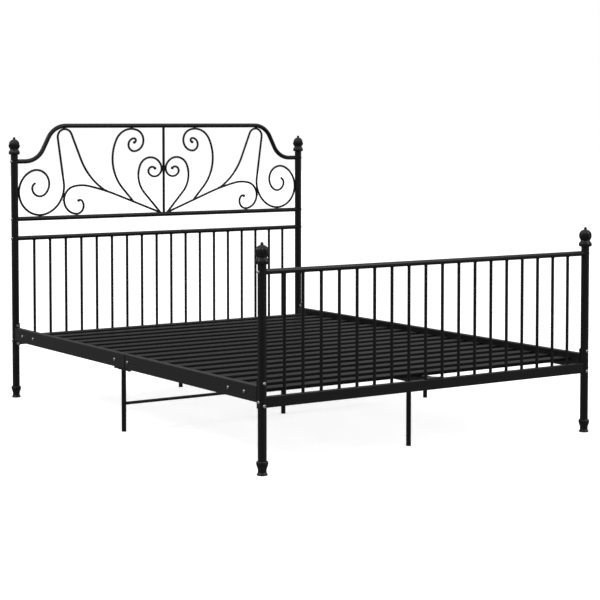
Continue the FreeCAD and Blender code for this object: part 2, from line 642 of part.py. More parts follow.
def centre_beam():
    """Beam under the slats, from one end board to the other, drilled for its upright bolts."""
    length = END_SPACING - END_RAIL_DEPTH
    centre = vec(0, 0, SLAT_BOTTOM - BEAM_HEIGHT / 2.0)
    shape = flat_tube_y(centre, length, BEAM_WIDTH, BEAM_HEIGHT, BEAM_WALL, BEAM_CORNER)
    for y in beam_bolt_places():
        shape = drill(shape, vec(0, y, 0), UP, SIDE_RAIL_TOP, FRAME_BOLT_DIA)
    return shape


def centre_leg_places():
    return [-CENTRE_LEG_OFFSET, 0.0, CENTRE_LEG_OFFSET]


def bracket_bolt_places():
    return [end * (END_Y - BEAM_BOLT_REACH) for _, end in ENDS]


def beam_bolt_places():
    return centre_leg_places() + bracket_bolt_places()


def centre_leg(y):
    """Leg under the beam with a threaded insert in its top."""
    foot = vec(0, y, LEG_CAP_THICKNESS)
    shape = tube(foot, UP, BEAM_BOTTOM - LEG_CAP_THICKNESS, LEG_DIA, LEG_WALL)
    insert = rod(vec(0, y, BEAM_BOTTOM - RAIL_INSERT_LENGTH), UP, RAIL_INSERT_LENGTH, LEG_DIA)
    shape = shape.fuse(insert).removeSplitter()
    shape = shape.cut(rod(vec(0, y, BEAM_BOTTOM - RAIL_INSERT_LENGTH), UP,
                          RAIL_INSERT_LENGTH, FRAME_BOLT_DIA))
    if y == 0.0:
        shape = shape.cut(rod(vec(-LEG_DIA, 0, CROSSBAR_HEIGHT), ALONG_X,
                              2.0 * LEG_DIA, CROSSBAR_DIA))
    return shape


def leg_caps():
    """Plastic caps under the five thin legs."""
    caps = []
    places = [(0.0, y) for y in centre_leg_places()] + [(side * POST_X, 0.0) for _, side in SIDES]
    for x, y in places:
        sole = rod(vec(x, y, 0), UP, LEG_CAP_THICKNESS, LEG_DIA)
        plug = rod(vec(x, y, LEG_CAP_THICKNESS), UP, LEG_CAP_PLUG, LEG_DIA - 2.0 * LEG_WALL)
        caps.append(sole.fuse(plug).removeSplitter())
    return caps


def beam_bracket(end):
    """T-shaped plate on the flat end rail and on the beam, with rounded inner corners."""
    outer_edge = END_Y + END_RAIL_DEPTH / 2.0
    inner_edge = END_Y - END_RAIL_DEPTH / 2.0
    tongue_end = END_Y - BRACKET_TONGUE_REACH
    half_plate = BRACKET_WIDTH / 2.0
    half_tongue = BEAM_WIDTH / 2.0
    corner = half_plate - half_tongue - 10.0
    points = [(half_plate, outer_edge), (-half_plate, outer_edge), (-half_plate, inner_edge),
              (-half_tongue - corner, inner_edge), (-half_tongue, inner_edge - corner),
              (-half_tongue, tongue_end), (half_tongue, tongue_end),
              (half_tongue, inner_edge - corner), (half_tongue + corner, inner_edge),
              (half_plate, inner_edge), (half_plate, outer_edge)]
    outline = Part.makePolygon([vec(x, end * y, END_RAIL_TOP) for x, y in points])
    shape = Part.Face(outline).extrude(UP * BRACKET_THICKNESS)
    for number in range(SPINDLE_COUNT):
        x = (number - (SPINDLE_COUNT - 1) / 2.0) * SPINDLE_PITCH
        shape = drill(shape, vec(x, end * END_Y, 0), UP, ARCH_TOP, SPINDLE_DIA)
    bolt_y = end * (END_Y - BEAM_BOLT_REACH)
    return drill(shape, vec(0, bolt_y, 0), UP, ARCH_TOP, FRAME_BOLT_DIA)


def beam_barrels():
    """Long round nuts that hang under the beam on the bracket bolts."""
    nuts = []
    for y in bracket_bolt_places():
        start = vec(0, y, BEAM_BOTTOM - BARREL_LENGTH)
        body = rod(start, UP, BARREL_LENGTH, BARREL_DIA)
        bolt_end = BEAM_BOTTOM - RAIL_INSERT_LENGTH
        nuts.append(body.cut(rod(vec(0, y, bolt_end), UP, RAIL_INSERT_LENGTH, FRAME_BOLT_DIA)))
    return nuts


# ---- fasteners --------------------------------------------------------------------------------
def frame_bolts():
    """Through bolts of the side rails: heads on the outer face of the posts."""
    bolts = []
    for _, end in ENDS:
        for _, side in SIDES:
            foot = vec(side * POST_X, end * END_Y, 0)
            post_body = rod(foot, UP, HEAD_POST_TOP, POST_DIA)
            shank = rod(foot - ALONG_Y * POST_DIA, ALONG_Y, 2.0 * POST_DIA, FRAME_BOLT_DIA)
            for height in saddle_bolt_heights():
                seat = vec(side * POST_X, end * (END_Y + POST_RADIUS - 1.2), height)
                length = POST_RADIUS - 1.2 + SADDLE_RADIUS + NUT_HEIGHT
                bolt = dome_bolt(seat, ALONG_Y * -end, length, FRAME_BOLT_DIA)
                lift = shank.translated(UP * height)
                bolts.append(bolt.cut(post_body.cut(lift)))
    return bolts


def frame_nuts():
    """Nuts of the through bolts, seated on the saddles."""
    nuts = []
    for _, end in ENDS:
        for _, side in SIDES:
            foot = vec(side * POST_X, end * END_Y, 0)
            seat_round = rod(foot, UP, HEAD_POST_TOP, 2.0 * SADDLE_RADIUS)
            for height in saddle_bolt_heights():
                inner = end * (END_Y - SADDLE_RADIUS + 1.2)
                start = vec(side * POST_X, inner, height)
                nut = hexagon_bar(start, ALONG_Y * -end, NUT_HEIGHT + 1.2, NUT_FLATS)
                nut = nut.cut(rod(start, ALONG_Y * -end, NUT_HEIGHT + 1.2, FRAME_BOLT_DIA))
                nuts.append(nut.cut(seat_round))
    return nuts


def cross_rail_bolts():
    """Bolts through the posts into the ends of the cross rails, heads on the outer side."""
    bolts = []
    for _, end in ENDS:
        for _, side in SIDES:
            foot = vec(side * POST_X, end * END_Y, 0)
            post_body = rod(foot, UP, ARCH_TOP, POST_DIA)
            shank = rod(foot - ALONG_X * POST_DIA, ALONG_X, 2.0 * POST_DIA, SMALL_BOLT_DIA)
            for height in cross_rail_heights(end):
                seat = vec(side * (POST_X + POST_RADIUS - 1.2), end * END_Y, height)
                length = POST_DIA - 1.2 + RAIL_INSERT_LENGTH - 2.0
                bolt = dome_bolt(seat, ALONG_X * -side, length, SMALL_BOLT_DIA)
                bolts.append(bolt.cut(post_body.cut(shank.translated(UP * height))))
    return bolts


def slat_bolts():
    """Bolts through the side rails into the bolted slats."""
    bolts = []
    for number, y in slat_places():
        if number not in BOLTED_SLATS:
            continue
        for _, side in SIDES:
            seat = vec(side * (POST_X + SIDE_RAIL_WIDTH / 2.0), y, SIDE_RAIL_MIDDLE)
            length = SIDE_RAIL_WIDTH + SLAT_INSERT_LENGTH - 2.0
            bolts.append(dome_bolt(seat, ALONG_X * -side, length, SMALL_BOLT_DIA))
    return bolts


def beam_bolts():
    """Upright bolts: one into each centre leg, one through each bracket into its barrel."""
    down = UP * -1.0
    bolts = []
    for y in centre_leg_places():
        length = BEAM_HEIGHT + RAIL_INSERT_LENGTH
        bolts.append(dome_bolt(vec(0, y, SLAT_BOTTOM), down, length, FRAME_BOLT_DIA))
    for y in bracket_bolt_places():
        seat = vec(0, y, SLAT_BOTTOM + BRACKET_THICKNESS)
        length = BRACKET_THICKNESS + BEAM_HEIGHT + RAIL_INSERT_LENGTH
        bolts.append(dome_bolt(seat, down, length, FRAME_BOLT_DIA))
    return bolts


def joint_bolts():
    """Bolts from below through the joint plates into the sleeves."""
    bolts = []
    for _, side in SIDES:
        for y in joint_bolt_places():
            seat = vec(side * POST_X, y, SIDE_RAIL_BOTTOM - JOINT_PLATE_THICKNESS)
            length = JOINT_PLATE_THICKNESS + 4.0 * SIDE_RAIL_WALL
            bolts.append(dome_bolt(seat, UP, length, SMALL_BOLT_DIA))
    return bolts


# ---- the whole bed ----------------------------------------------------------------------------
def end_boards():
    for end_name, end in ENDS:
        top = HEAD_POST_TOP if end > 0 else FOOT_POST_TOP
        for side_name, side in SIDES:
            corner = end_name + "_" + side_name
            save(corner + "_post", post(side, end, top))
            save(corner + "_finial", finial().translated(vec(side * POST_X, end * END_Y, top)))
            save(corner + "_foot", plastic_foot().translated(vec(side * POST_X, end * END_Y, 0)))
        save(end_name + "_bottom_rail", flat_rail(end))
        save(end_name + "_spindles", spindles(end))
    save("head_top_rail", arched_rail())
    save("head_upper_rail", straight_rail(1.0, UPPER_RAIL_HEIGHT))
    save("head_lower_rail", straight_rail(1.0, LOWER_RAIL_HEIGHT))
    save("foot_top_rail", straight_rail(-1.0, LOWER_RAIL_HEIGHT))
    save("head_centre_bar", centre_bar())


def sides():
    for side_name, side in SIDES:
        for end_name, end in ENDS:
            save("side_rail_" + end_name + "_" + side_name, side_rail(side, end))
            save("saddle_" + end_name + "_" + side_name, saddle(side, end))
        save("joint_plate_" + side_name, joint_plate(side))
        save("middle_leg_" + side_name, middle_leg(side))
    save("crossbar", crossbar())


def deck():
    save("slats", [slat(number, y) for number, y in slat_places()])
    save("slat_caps", slat_caps())
    save("centre_beam", centre_beam())
    for name, y in zip(("foot", "middle", "head"), centre_leg_places()):
        save("centre_leg_" + name, centre_leg(y))
    save("leg_caps", leg_caps())
    for end_name, end in ENDS:
        save("beam_bracket_" + end_name, beam_bracket(end))


def fasteners():
    save("frame_bolts", frame_bolts())
    save("frame_nuts", frame_nuts())
    save("cross_rail_bolts", cross_rail_bolts())
    save("slat_bolts", slat_bolts())
    save("beam_bolts", beam_bolts())
    save("beam_barrels", beam_barrels())
    save("joint_bolts", joint_bolts())


os.makedirs("parts", exist_ok=True)
end_boards()
scrollwork()
sides()
deck()
fasteners()
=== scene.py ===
"""Looks of the metal bed frame: finishes, moulded finials and feet, bolt heads, weld beads, stage.

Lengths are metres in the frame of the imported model: origin on the floor under the middle of the
bed, +Z up, +Y towards the headboard.
"""
import json
import math

import bpy
import numpy as np
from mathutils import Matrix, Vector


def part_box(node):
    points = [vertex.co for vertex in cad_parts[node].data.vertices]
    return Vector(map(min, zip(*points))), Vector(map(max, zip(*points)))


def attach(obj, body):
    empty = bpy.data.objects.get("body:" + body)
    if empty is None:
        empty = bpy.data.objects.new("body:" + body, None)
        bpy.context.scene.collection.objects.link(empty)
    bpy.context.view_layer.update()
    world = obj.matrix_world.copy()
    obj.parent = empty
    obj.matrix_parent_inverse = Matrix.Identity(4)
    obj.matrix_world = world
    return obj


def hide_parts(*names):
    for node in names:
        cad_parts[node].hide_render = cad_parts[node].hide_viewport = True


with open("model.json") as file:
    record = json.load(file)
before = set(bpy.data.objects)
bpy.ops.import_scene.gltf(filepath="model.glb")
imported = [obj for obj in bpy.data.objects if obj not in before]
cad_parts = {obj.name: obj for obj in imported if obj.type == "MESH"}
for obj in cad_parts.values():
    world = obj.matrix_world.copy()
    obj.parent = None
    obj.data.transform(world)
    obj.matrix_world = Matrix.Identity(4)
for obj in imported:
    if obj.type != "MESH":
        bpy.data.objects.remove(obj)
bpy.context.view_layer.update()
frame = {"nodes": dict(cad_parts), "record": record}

bl_info = {
    "name": "Metal Bed Frame",
    "version": (1, 0, 0),
    "blender": (4, 5, 0),
    "location": "3D View > Sidebar > Bed Frame",
    "description": "Finishes, turned ends, bolt heads and weld beads of a scrolled metal bed frame",
    "category": "Object",
}

MM = 0.001
TAU = 2.0 * math.pi
SIDES = ("left", "right")
ENDS = ("foot", "head")
FINIAL_TURNS = {"foot_left": 12.0, "foot_right": 47.0, "head_left": 33.0, "head_right": 26.0}
HEAD_SINK = 1.2 * MM      # how far a bolt's flat seat lies below the post's round
SADDLE_WALL = 4.0 * MM
NUT_SINK = 0.6 * MM       # how far a nut's flat seat lies below the saddle's round
NUT_HEIGHT = 6.9 * MM
NUT_FLATS = 13.0 * MM
THICK_BOLT_RADIUS = 4.0 * MM
THIN_BOLT_RADIUS = 3.0 * MM
CROSS_BOLT_GRIP = 10.0 * MM      # length of a cross rail bolt beyond the post
SLAT_BOLT_LENGTH = 40.0 * MM
LEG_BOLT_LENGTH = 50.0 * MM
BRACKET_BOLT_LENGTH = 54.0 * MM
BRACKET_BOLT_INSET = 53.0 * MM   # from the posts' middles to a bracket's bolt
JOINT_BOLT_LENGTH = 10.0 * MM
SLAT_WIDTH = 50.0 * MM
SLAT_COUNT = 18
BOLTED_SLATS = (0, 1, 8, 9, 16, 17)
SPINDLE_COUNT = 18


# ---- settings -------------------------------------------------------------------------------
class BedFinishSettings(bpy.types.PropertyGroup):
    """Colours and surface of the finishes."""

    coat_colour: bpy.props.FloatVectorProperty(
        name="Powder coat", description="Colour of the black powder coat", subtype="COLOR",
        size=3, min=0.0, max=1.0, default=(0.003, 0.003, 0.0032))
    slat_colour: bpy.props.FloatVectorProperty(
        name="Slat coat", description="Colour of the slats' powder coat", subtype="COLOR",
        size=3, min=0.0, max=1.0, default=(0.0045, 0.0045, 0.0048))
    plastic_colour: bpy.props.FloatVectorProperty(
        name="Moulded plastic", description="Colour of finials, feet and caps", subtype="COLOR",
        size=3, min=0.0, max=1.0, default=(0.003, 0.003, 0.0031))
    zinc_colour: bpy.props.FloatVectorProperty(
        name="Zinc", description="Colour of the plated bolts and nuts", subtype="COLOR",
        size=3, min=0.0, max=1.0, default=(0.56, 0.57, 0.59))
    dust_colour: bpy.props.FloatVectorProperty(
        name="Dust", description="Colour of the thin dust on level faces", subtype="COLOR",
        size=3, min=0.0, max=1.0, default=(0.16, 0.155, 0.15))
    coat_roughness: bpy.props.FloatProperty(
        name="Coat roughness", description="Mean roughness of the powder coat",
        min=0.0, max=1.0, default=0.38, subtype="FACTOR")
    plastic_roughness: bpy.props.FloatProperty(
        name="Plastic roughness", description="Mean roughness of the moulded plastic",
        min=0.0, max=1.0, default=0.3, subtype="FACTOR")
    grain_size: bpy.props.FloatProperty(
        name="Grain size", description="Width of one grain of the powder coat's orange peel",
        min=0.0001, max=0.01, default=0.0011, precision=4, unit="LENGTH")


class BedDetailSettings(bpy.types.PropertyGroup):
    """Sizes of the moulded, turned and welded details."""

    lobes: bpy.props.IntProperty(
        name="Lobes", description="Lobes round each finial's ball", min=3, max=24, default=6)
    lobe_depth: bpy.props.FloatProperty(
        name="Lobe depth", description="Depth of the grooves between the lobes",
        min=0.0, max=0.004, default=0.0034, precision=4, unit="LENGTH")
    foot_flutes: bpy.props.IntProperty(
        name="Foot flutes", description="Flutes round each plastic foot", min=4, max=32, default=10)
    flute_depth: bpy.props.FloatProperty(
        name="Flute depth", description="Depth of the feet's flutes",
        min=0.0, max=0.004, default=0.0024, precision=4, unit="LENGTH")
    head_radius: bpy.props.FloatProperty(
        name="Bolt head radius", description="Radius of the domed bolt heads",
        min=0.002, max=0.02, default=0.0065, precision=4, unit="LENGTH")
    head_height: bpy.props.FloatProperty(
        name="Bolt head height", description="Height of the domed bolt heads",
        min=0.001, max=0.01, default=0.0045, precision=4, unit="LENGTH")
    key_size: bpy.props.FloatProperty(
        name="Key size", description="Width across the flats of the hexagon socket",
        min=0.001, max=0.01, default=0.005, precision=4, unit="LENGTH")
    bead_size: bpy.props.FloatProperty(
        name="Weld bead", description="Radius of a weld bead's section",
        min=0.0002, max=0.005, default=0.0013, precision=4, unit="LENGTH")


class BedStageSettings(bpy.types.PropertyGroup):
    """Floor, lights and camera."""

    floor_colour: bpy.props.FloatVectorProperty(
        name="Floor", description="Colour of the floor", subtype="COLOR",
        size=3, min=0.0, max=1.0, default=(0.86, 0.86, 0.86))
    floor_glow: bpy.props.FloatProperty(
        name="Floor glow", description="Light of the floor itself, which keeps its shadows faint",
        min=0.0, max=2.0, default=0.5)
    sky_strength: bpy.props.FloatProperty(
        name="Overhead light", description="Strength of the soft light from straight above",
        min=0.0, max=10.0, default=1.15)
    horizon_strength: bpy.props.FloatProperty(
        name="Level light", description="Strength of the soft light from the level",
        min=0.0, max=10.0, default=0.16)
    side_strength: bpy.props.FloatProperty(
        name="Side light", description="Strength of the soft light from the view's left and right",
        min=0.0, max=10.0, default=0.13)
    box_power: bpy.props.FloatProperty(
        name="Light boxes", description="Power of each light box beside the bed",
        min=0.0, max=5000.0, default=50.0, unit="POWER")
    camera_lens: bpy.props.FloatProperty(
        name="Lens", description="Focal length of the camera", min=10.0, max=300.0,
        default=103.088, unit="CAMERA")
    camera_place: bpy.props.FloatVectorProperty(
        name="Camera place", description="Where the camera stands", size=3,
        subtype="TRANSLATION", unit="LENGTH", default=(-3.9876, -6.0922, 1.2468))
    camera_heading: bpy.props.FloatProperty(
        name="Heading", description="Turn of the view from the bed's length towards its right",
        subtype="ANGLE", unit="ROTATION", default=math.radians(33.7685))
    camera_pitch: bpy.props.FloatProperty(
        name="Pitch", description="Tilt of the view below the level", subtype="ANGLE",
        unit="ROTATION", default=math.radians(2.9666))
    camera_shift: bpy.props.FloatProperty(
        name="Shift", description="Upright lens shift as a share of the image width",
        min=-1.0, max=1.0, default=-0.15)


# ---- surfaces -------------------------------------------------------------------------------
def smooth_step(low, high, x):
    """Rises from 0 at low to 1 at high with level ends: 3s^2 - 2s^3."""
    s = np.clip((x - low) / (high - low), 0.0, 1.0)
    return s * s * (3.0 - 2.0 * s)


def ring_surface(rings, poles=True):
    """Vertices and faces of a closed skin over rings of points, (ring, point, xyz).

    With poles the first and last rings are closed by fans to their middle points; without
    them the last ring is joined to the first, as on a ring doughnut.  Faces point outwards.
    """
    count, around, _ = rings.shape
    verts = rings.reshape(-1, 3)
    rows = count - 1 if poles else count
    i, j = np.meshgrid(np.arange(rows), np.arange(around), indexing="ij")
    here = i * around + j
    beside = i * around + (j + 1) % around
    above = ((i + 1) % count) * around + j
    corner = ((i + 1) % count) * around + (j + 1) % around
    quads = np.stack([here, beside, corner, above], -1).reshape(-1, 4)
    tris = np.zeros((0, 3), int)
    if poles:
        verts = np.vstack([verts, rings[0].mean(0), rings[-1].mean(0)])
        j = np.arange(around)
        low = np.stack([np.full(around, count * around), (j + 1) % around, j], -1)
        top = (count - 1) * around
        high = np.stack([np.full(around, count * around + 1), top + j, top + (j + 1) % around], -1)
        tris = np.vstack([low, high])
    if signed_volume(verts, quads, tris) < 0.0:
        quads, tris = quads[:, ::-1], tris[:, ::-1]
    return verts, quads, tris


def signed_volume(verts, quads, tris):
    """Sum of the tetrahedra from the origin to every face; above zero if faces point outwards."""
    fans = np.vstack([tris, quads[:, [0, 1, 2]], quads[:, [0, 2, 3]]])
    a, b, c = (verts[fans[:, k]] for k in range(3))
    return float(np.einsum("ij,ij->i", a, np.cross(b, c)).sum())


def turned(radius, height, turns):
    """Rings of a turned shape: radius (ring, point) and height (ring, point) round the Z axis."""
    return np.stack([radius * np.cos(turns), radius * np.sin(turns), height + 0.0 * turns], -1)


def circle_turns(around):
    return np.arange(around) * (TAU / around)


def basis(direction):
    """Rows of a rotation that carries +Z onto a direction."""
    w = np.array(direction, float)
    w /= np.linalg.norm(w)
    helper = np.array([0.0, 0.0, 1.0]) if abs(w[2]) < 0.9 else np.array([0.0, 1.0, 0.0])
    u = np.cross(helper, w)
    u /= np.linalg.norm(u)
    return np.stack([u, np.cross(w, u), w])


def placed(surface, place, direction=(0.0, 0.0, 1.0)):
    """The surface turned from +Z onto a direction and carried to its place."""
    verts, quads, tris = surface
    return verts @ basis(direction) + np.array(place), quads, tris


def bead_along(line, across, outward, radius, ripples):
    """Closed bead along a closed line.

    The section at each point is a circle in the plane of the two given directions; its
    radius swells and thins by a tenth as a sine along the line, like a weld's ripples.
    """
    section = circle_turns(8)
    along = circle_turns(len(line))
    swell = radius * (1.0 + 0.1 * np.sin(ripples * along))
    spread = np.cos(section)[None, :, None] * across[:, None, :]
    lift = np.sin(section)[None, :, None] * outward[:, None, :]
    rings = line[:, None, :] + swell[:, None, None] * (spread + lift)
    return ring_surface(rings, poles=False)


def joined(surfaces):
    """Several surfaces as one list of vertices, quads and triangles."""
    start = 0
    verts, quads, tris = [], [], []
    for v, q, t in surfaces:
        verts.append(v)
        quads.append(q + start)
        tris.append(t + start)
        start += len(v)
    return np.vstack(verts), np.vstack(quads), np.vstack(tris)


def piece(name, surface, slot, sharp=35.0, stands_for=()):
    """Makes a mesh object from a surface, gives it its finish and lets it ride on the frame."""
    verts, quads, tris = surface
    mesh = bpy.data.meshes.new(name)
    mesh.from_pydata(verts.tolist(), [], quads.tolist() + tris.tolist())
    mesh.polygons.foreach_set("use_smooth", np.ones(len(mesh.polygons), bool))
    mesh.set_sharp_from_angle(angle=math.radians(sharp))
    mesh.update()
    thing = bpy.data.objects.new(name, mesh)
    bpy.context.scene.collection.objects.link(thing)
    mesh.materials.append(finish(slot))
    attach(thing, "root")
    if stands_for:
        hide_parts(*stands_for)
    return thing


# ---- shader node groups ---------------------------------------------------------------------
def new_group(name, inputs, outputs):
    """Empty shader node group with named value inputs and outputs."""
    group = bpy.data.node_groups.new(name, "ShaderNodeTree")
    for label, kind, default in inputs:
        socket = group.interface.new_socket(name=label, in_out="INPUT", socket_type=kind)
        socket.default_value = default
    for label, kind in outputs:
        group.interface.new_socket(name=label, in_out="OUTPUT", socket_type=kind)
    entry = group.nodes.new("NodeGroupInput")
    leave = group.nodes.new("NodeGroupOutput")
    return group, entry, leave


def add_node(tree, kind, **values):
    """Adds a node; plain names are set on the node and a dict called inputs on its sockets."""
    node = tree.nodes.new(kind)
    for key, value in values.items():
        if key == "inputs":
            for socket, amount in value.items():
                node.inputs[socket].default_value = amount
        else:
            setattr(node, key, value)
    return node


def math_node(tree, operation, first, second):
    """Math node whose operands are numbers or sockets; returns its output socket."""
    node = add_node(tree, "ShaderNodeMath", operation=operation)
    for index, operand in enumerate((first, second)):
        if isinstance(operand, (int, float)):
            node.inputs[index].default_value = operand
        else:
            tree.links.new(operand, node.inputs[index])
    return node.outputs[0]


def grain_group():
    """Orange peel: fine noise for height, and broad with fine noise for roughness."""
    group, entry, leave = new_group(
        "coat_grain",
        [("Scale", "NodeSocketFloat", 900.0), ("Roughness", "NodeSocketFloat", 0.4),
         ("Spread", "NodeSocketFloat", 0.08)],
        [("Height", "NodeSocketFloat"), ("Roughness", "NodeSocketFloat")])
    links = group.links
    place = add_node(group, "ShaderNodeTexCoord")
    fine = add_node(group, "ShaderNodeTexNoise", inputs={"Detail": 2.0, "Roughness": 0.5})
    broad = add_node(group, "ShaderNodeTexNoise", inputs={"Scale": 14.0, "Detail": 3.0})
    links.new(place.outputs["Object"], fine.inputs["Vector"])
    links.new(place.outputs["Object"], broad.inputs["Vector"])
    links.new(entry.outputs["Scale"], fine.inputs["Scale"])
    both = math_node(group, "ADD", fine.outputs["Fac"], broad.outputs["Fac"])
    centred = math_node(group, "SUBTRACT", both, 1.0)
    swing = math_node(group, "MULTIPLY", centred, entry.outputs["Spread"])
    links.new(math_node(group, "ADD", swing, entry.outputs["Roughness"]), leave.inputs["Roughness"])
    links.new(fine.outputs["Fac"], leave.inputs["Height"])
    return group


def dust_group():
    """Thin dust: strongest where the surface faces up, broken up by two sizes of noise."""
    group, entry, leave = new_group(
        "level_dust", [("Amount", "NodeSocketFloat", 0.3)], [("Mask", "NodeSocketFloat")])
    links = group.links
    surface = add_node(group, "ShaderNodeNewGeometry")
    split = add_node(group, "ShaderNodeSeparateXYZ")
    links.new(surface.outputs["Normal"], split.inputs[0])
    upward = add_node(group, "ShaderNodeMapRange", interpolation_type="SMOOTHSTEP",
                      inputs={"From Min": 0.55, "From Max": 1.0})
    links.new(split.outputs["Z"], upward.inputs["Value"])
    place = add_node(group, "ShaderNodeTexCoord")
    cloud = add_node(group, "ShaderNodeTexNoise", inputs={"Scale": 9.0, "Detail": 4.0})
    speck = add_node(group, "ShaderNodeTexNoise", inputs={"Scale": 420.0, "Detail": 2.0})
    links.new(place.outputs["Object"], cloud.inputs["Vector"])
    links.new(place.outputs["Object"], speck.inputs["Vector"])
    patchy = math_node(group, "MULTIPLY", cloud.outputs["Fac"], speck.outputs["Fac"])
    strength = math_node(group, "MULTIPLY", patchy, entry.outputs["Amount"])
    links.new(math_node(group, "MULTIPLY", strength, upward.outputs[0]), leave.inputs["Mask"])
    return group


def scuff_group():
    """Faint handling marks: thin stretched cells of noise that stay rare."""
    group, entry, leave = new_group(
        "handling_marks", [("Amount", "NodeSocketFloat", 0.3)], [("Mask", "NodeSocketFloat")])
    links = group.links
    place = add_node(group, "ShaderNodeTexCoord")
    stretch = add_node(group, "ShaderNodeMapping", inputs={"Rotation": (0.4, 0.7, 0.2),
                                                          "Scale": (26.0, 320.0, 90.0)})
    marks = add_node(group, "ShaderNodeTexNoise", inputs={"Scale": 1.0, "Detail": 3.0})
    rare = add_node(group, "ShaderNodeMapRange", inputs={"From Min": 0.64, "From Max": 0.74})
    links.new(place.outputs["Object"], stretch.inputs["Vector"])
    links.new(stretch.outputs[0], marks.inputs["Vector"])
    links.new(marks.outputs["Fac"], rare.inputs["Value"])
    links.new(math_node(group, "MULTIPLY", rare.outputs[0], entry.outputs["Amount"]),
              leave.inputs["Mask"])
    return group


GROUP_MAKERS = {"coat_grain": grain_group, "level_dust": dust_group, "handling_marks": scuff_group}


def group_node(tree, name, **inputs):
    """Places a shared group in a material, building the group the first time."""
    shared = bpy.data.node_groups.get(name) or GROUP_MAKERS[name]()
    node = tree.nodes.new("ShaderNodeGroup")
    node.node_tree = shared
    for socket, amount in inputs.items():
        node.inputs[socket].default_value = amount
    return node


# ---- materials ------------------------------------------------------------------------------
def coated(name, colour, roughness, grain_scale, bump, dust, marks, shine):
    """Dark coating: even colour under thin dust, orange-peel bump, roughness from grain and marks."""
    look = bpy.context.scene.bed_finish
    material = bpy.data.materials.new(name)
    material.use_nodes = True
    tree = material.node_tree
    links = tree.links
    shader = tree.nodes["Principled BSDF"]
    shader.inputs["IOR"].default_value = 1.5
    shader.inputs["Specular IOR Level"].default_value = shine
    grain = group_node(tree, "coat_grain", Scale=grain_scale, Roughness=roughness, Spread=0.09)
    dusty = group_node(tree, "level_dust", Amount=dust)
    scuffs = group_node(tree, "handling_marks", Amount=marks)
    rough = math_node(tree, "ADD", grain.outputs["Roughness"], scuffs.outputs["Mask"])
    rough = math_node(tree, "ADD", rough, dusty.outputs["Mask"])
    links.new(rough, shader.inputs["Roughness"])
    tone = add_node(tree, "ShaderNodeMix", data_type="RGBA")
    tone.inputs["A"].default_value = (*colour, 1.0)
    tone.inputs["B"].default_value = (*look.dust_colour, 1.0)
    links.new(dusty.outputs["Mask"], tone.inputs["Factor"])
    links.new(tone.outputs["Result"], shader.inputs["Base Color"])
    peel = add_node(tree, "ShaderNodeBump", inputs={"Strength": bump, "Distance": 0.0003})
    links.new(grain.outputs["Height"], peel.inputs["Height"])
    links.new(peel.outputs["Normal"], shader.inputs["Normal"])
    return material


def plated(name, colour):
    """Zinc plating: bright metal with a cloudy tone and fine spots of dull oxide."""
    material = bpy.data.materials.new(name)
    material.use_nodes = True
    tree = material.node_tree
    links = tree.links
    shader = tree.nodes["Principled BSDF"]
    shader.inputs["Metallic"].default_value = 1.0
    grain = group_node(tree, "coat_grain", Scale=1800.0, Roughness=0.3, Spread=0.22)
    links.new(grain.outputs["Roughness"], shader.inputs["Roughness"])
    place = add_node(tree, "ShaderNodeTexCoord")
    cloud = add_node(tree, "ShaderNodeTexNoise", inputs={"Scale": 260.0, "Detail": 3.0})
    links.new(place.outputs["Object"], cloud.inputs["Vector"])
    tone = add_node(tree, "ShaderNodeMix", data_type="RGBA")
    tone.inputs["A"].default_value = (*colour, 1.0)
    tone.inputs["B"].default_value = (*(0.72 * part for part in colour), 1.0)
    links.new(cloud.outputs["Fac"], tone.inputs["Factor"])
    links.new(tone.outputs["Result"], shader.inputs["Base Color"])
    peel = add_node(tree, "ShaderNodeBump", inputs={"Strength": 0.15, "Distance": 0.0001})
    links.new(grain.outputs["Height"], peel.inputs["Height"])
    links.new(peel.outputs["Normal"], shader.inputs["Normal"])
    return material


def finish(slot):
    """The material of one of the record's slots, made when it is first asked for."""
    ready = bpy.data.materials.get("bed_" + slot)
    if ready:
        return ready
    look = bpy.context.scene.bed_finish
    fine = 1.0 / look.grain_size
    name = "bed_" + slot
    if slot == "black_powder_coat":
        return coated(name, look.coat_colour, look.coat_roughness, fine,
                      bump=0.35, dust=0.10, marks=0.10, shine=0.3)
    if slot == "grey_powder_coat":
        return coated(name, look.slat_colour, look.coat_roughness, fine,
                      bump=0.35, dust=0.10, marks=0.12, shine=0.115)
    if slot == "black_plastic":
        return coated(name, look.plastic_colour, look.plastic_roughness, 2.0 * fine,
                      bump=0.2, dust=0.06, marks=0.06, shine=0.3)
    if slot == "cap_plastic":
        return coated(name, look.plastic_colour, look.plastic_roughness, fine,
                      bump=0.45, dust=0.08, marks=0.06, shine=0.3)
    if slot == "zinc_steel":
        return plated(name, look.zinc_colour)
    raise RuntimeError("no finish is known for the slot " + slot)


# ---- places read from the frame -------------------------------------------------------------
def node_box(node):
    low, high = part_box(node)
    return np.array(low), np.array(high)


def middle(node):
    low, high = node_box(node)
    return (low + high) / 2.0


def corner_places():
    """(end, side, x, y, post top) of each corner post."""
    places = []
    for end in ENDS:
        for side in SIDES:
            low, high = node_box(end + "_" + side + "_post")
            centre = (low + high) / 2.0
            places.append((end, side, centre[0], centre[1], high[2]))
    return places


def half_size(node, axis):
    """Half of a node's size along an axis: the radius of a round tube lying across it."""
    low, high = node_box(node)
    return (high[axis] - low[axis]) / 2.0


def outward_sign(value):
    return 1.0 if value > 0.0 else -1.0


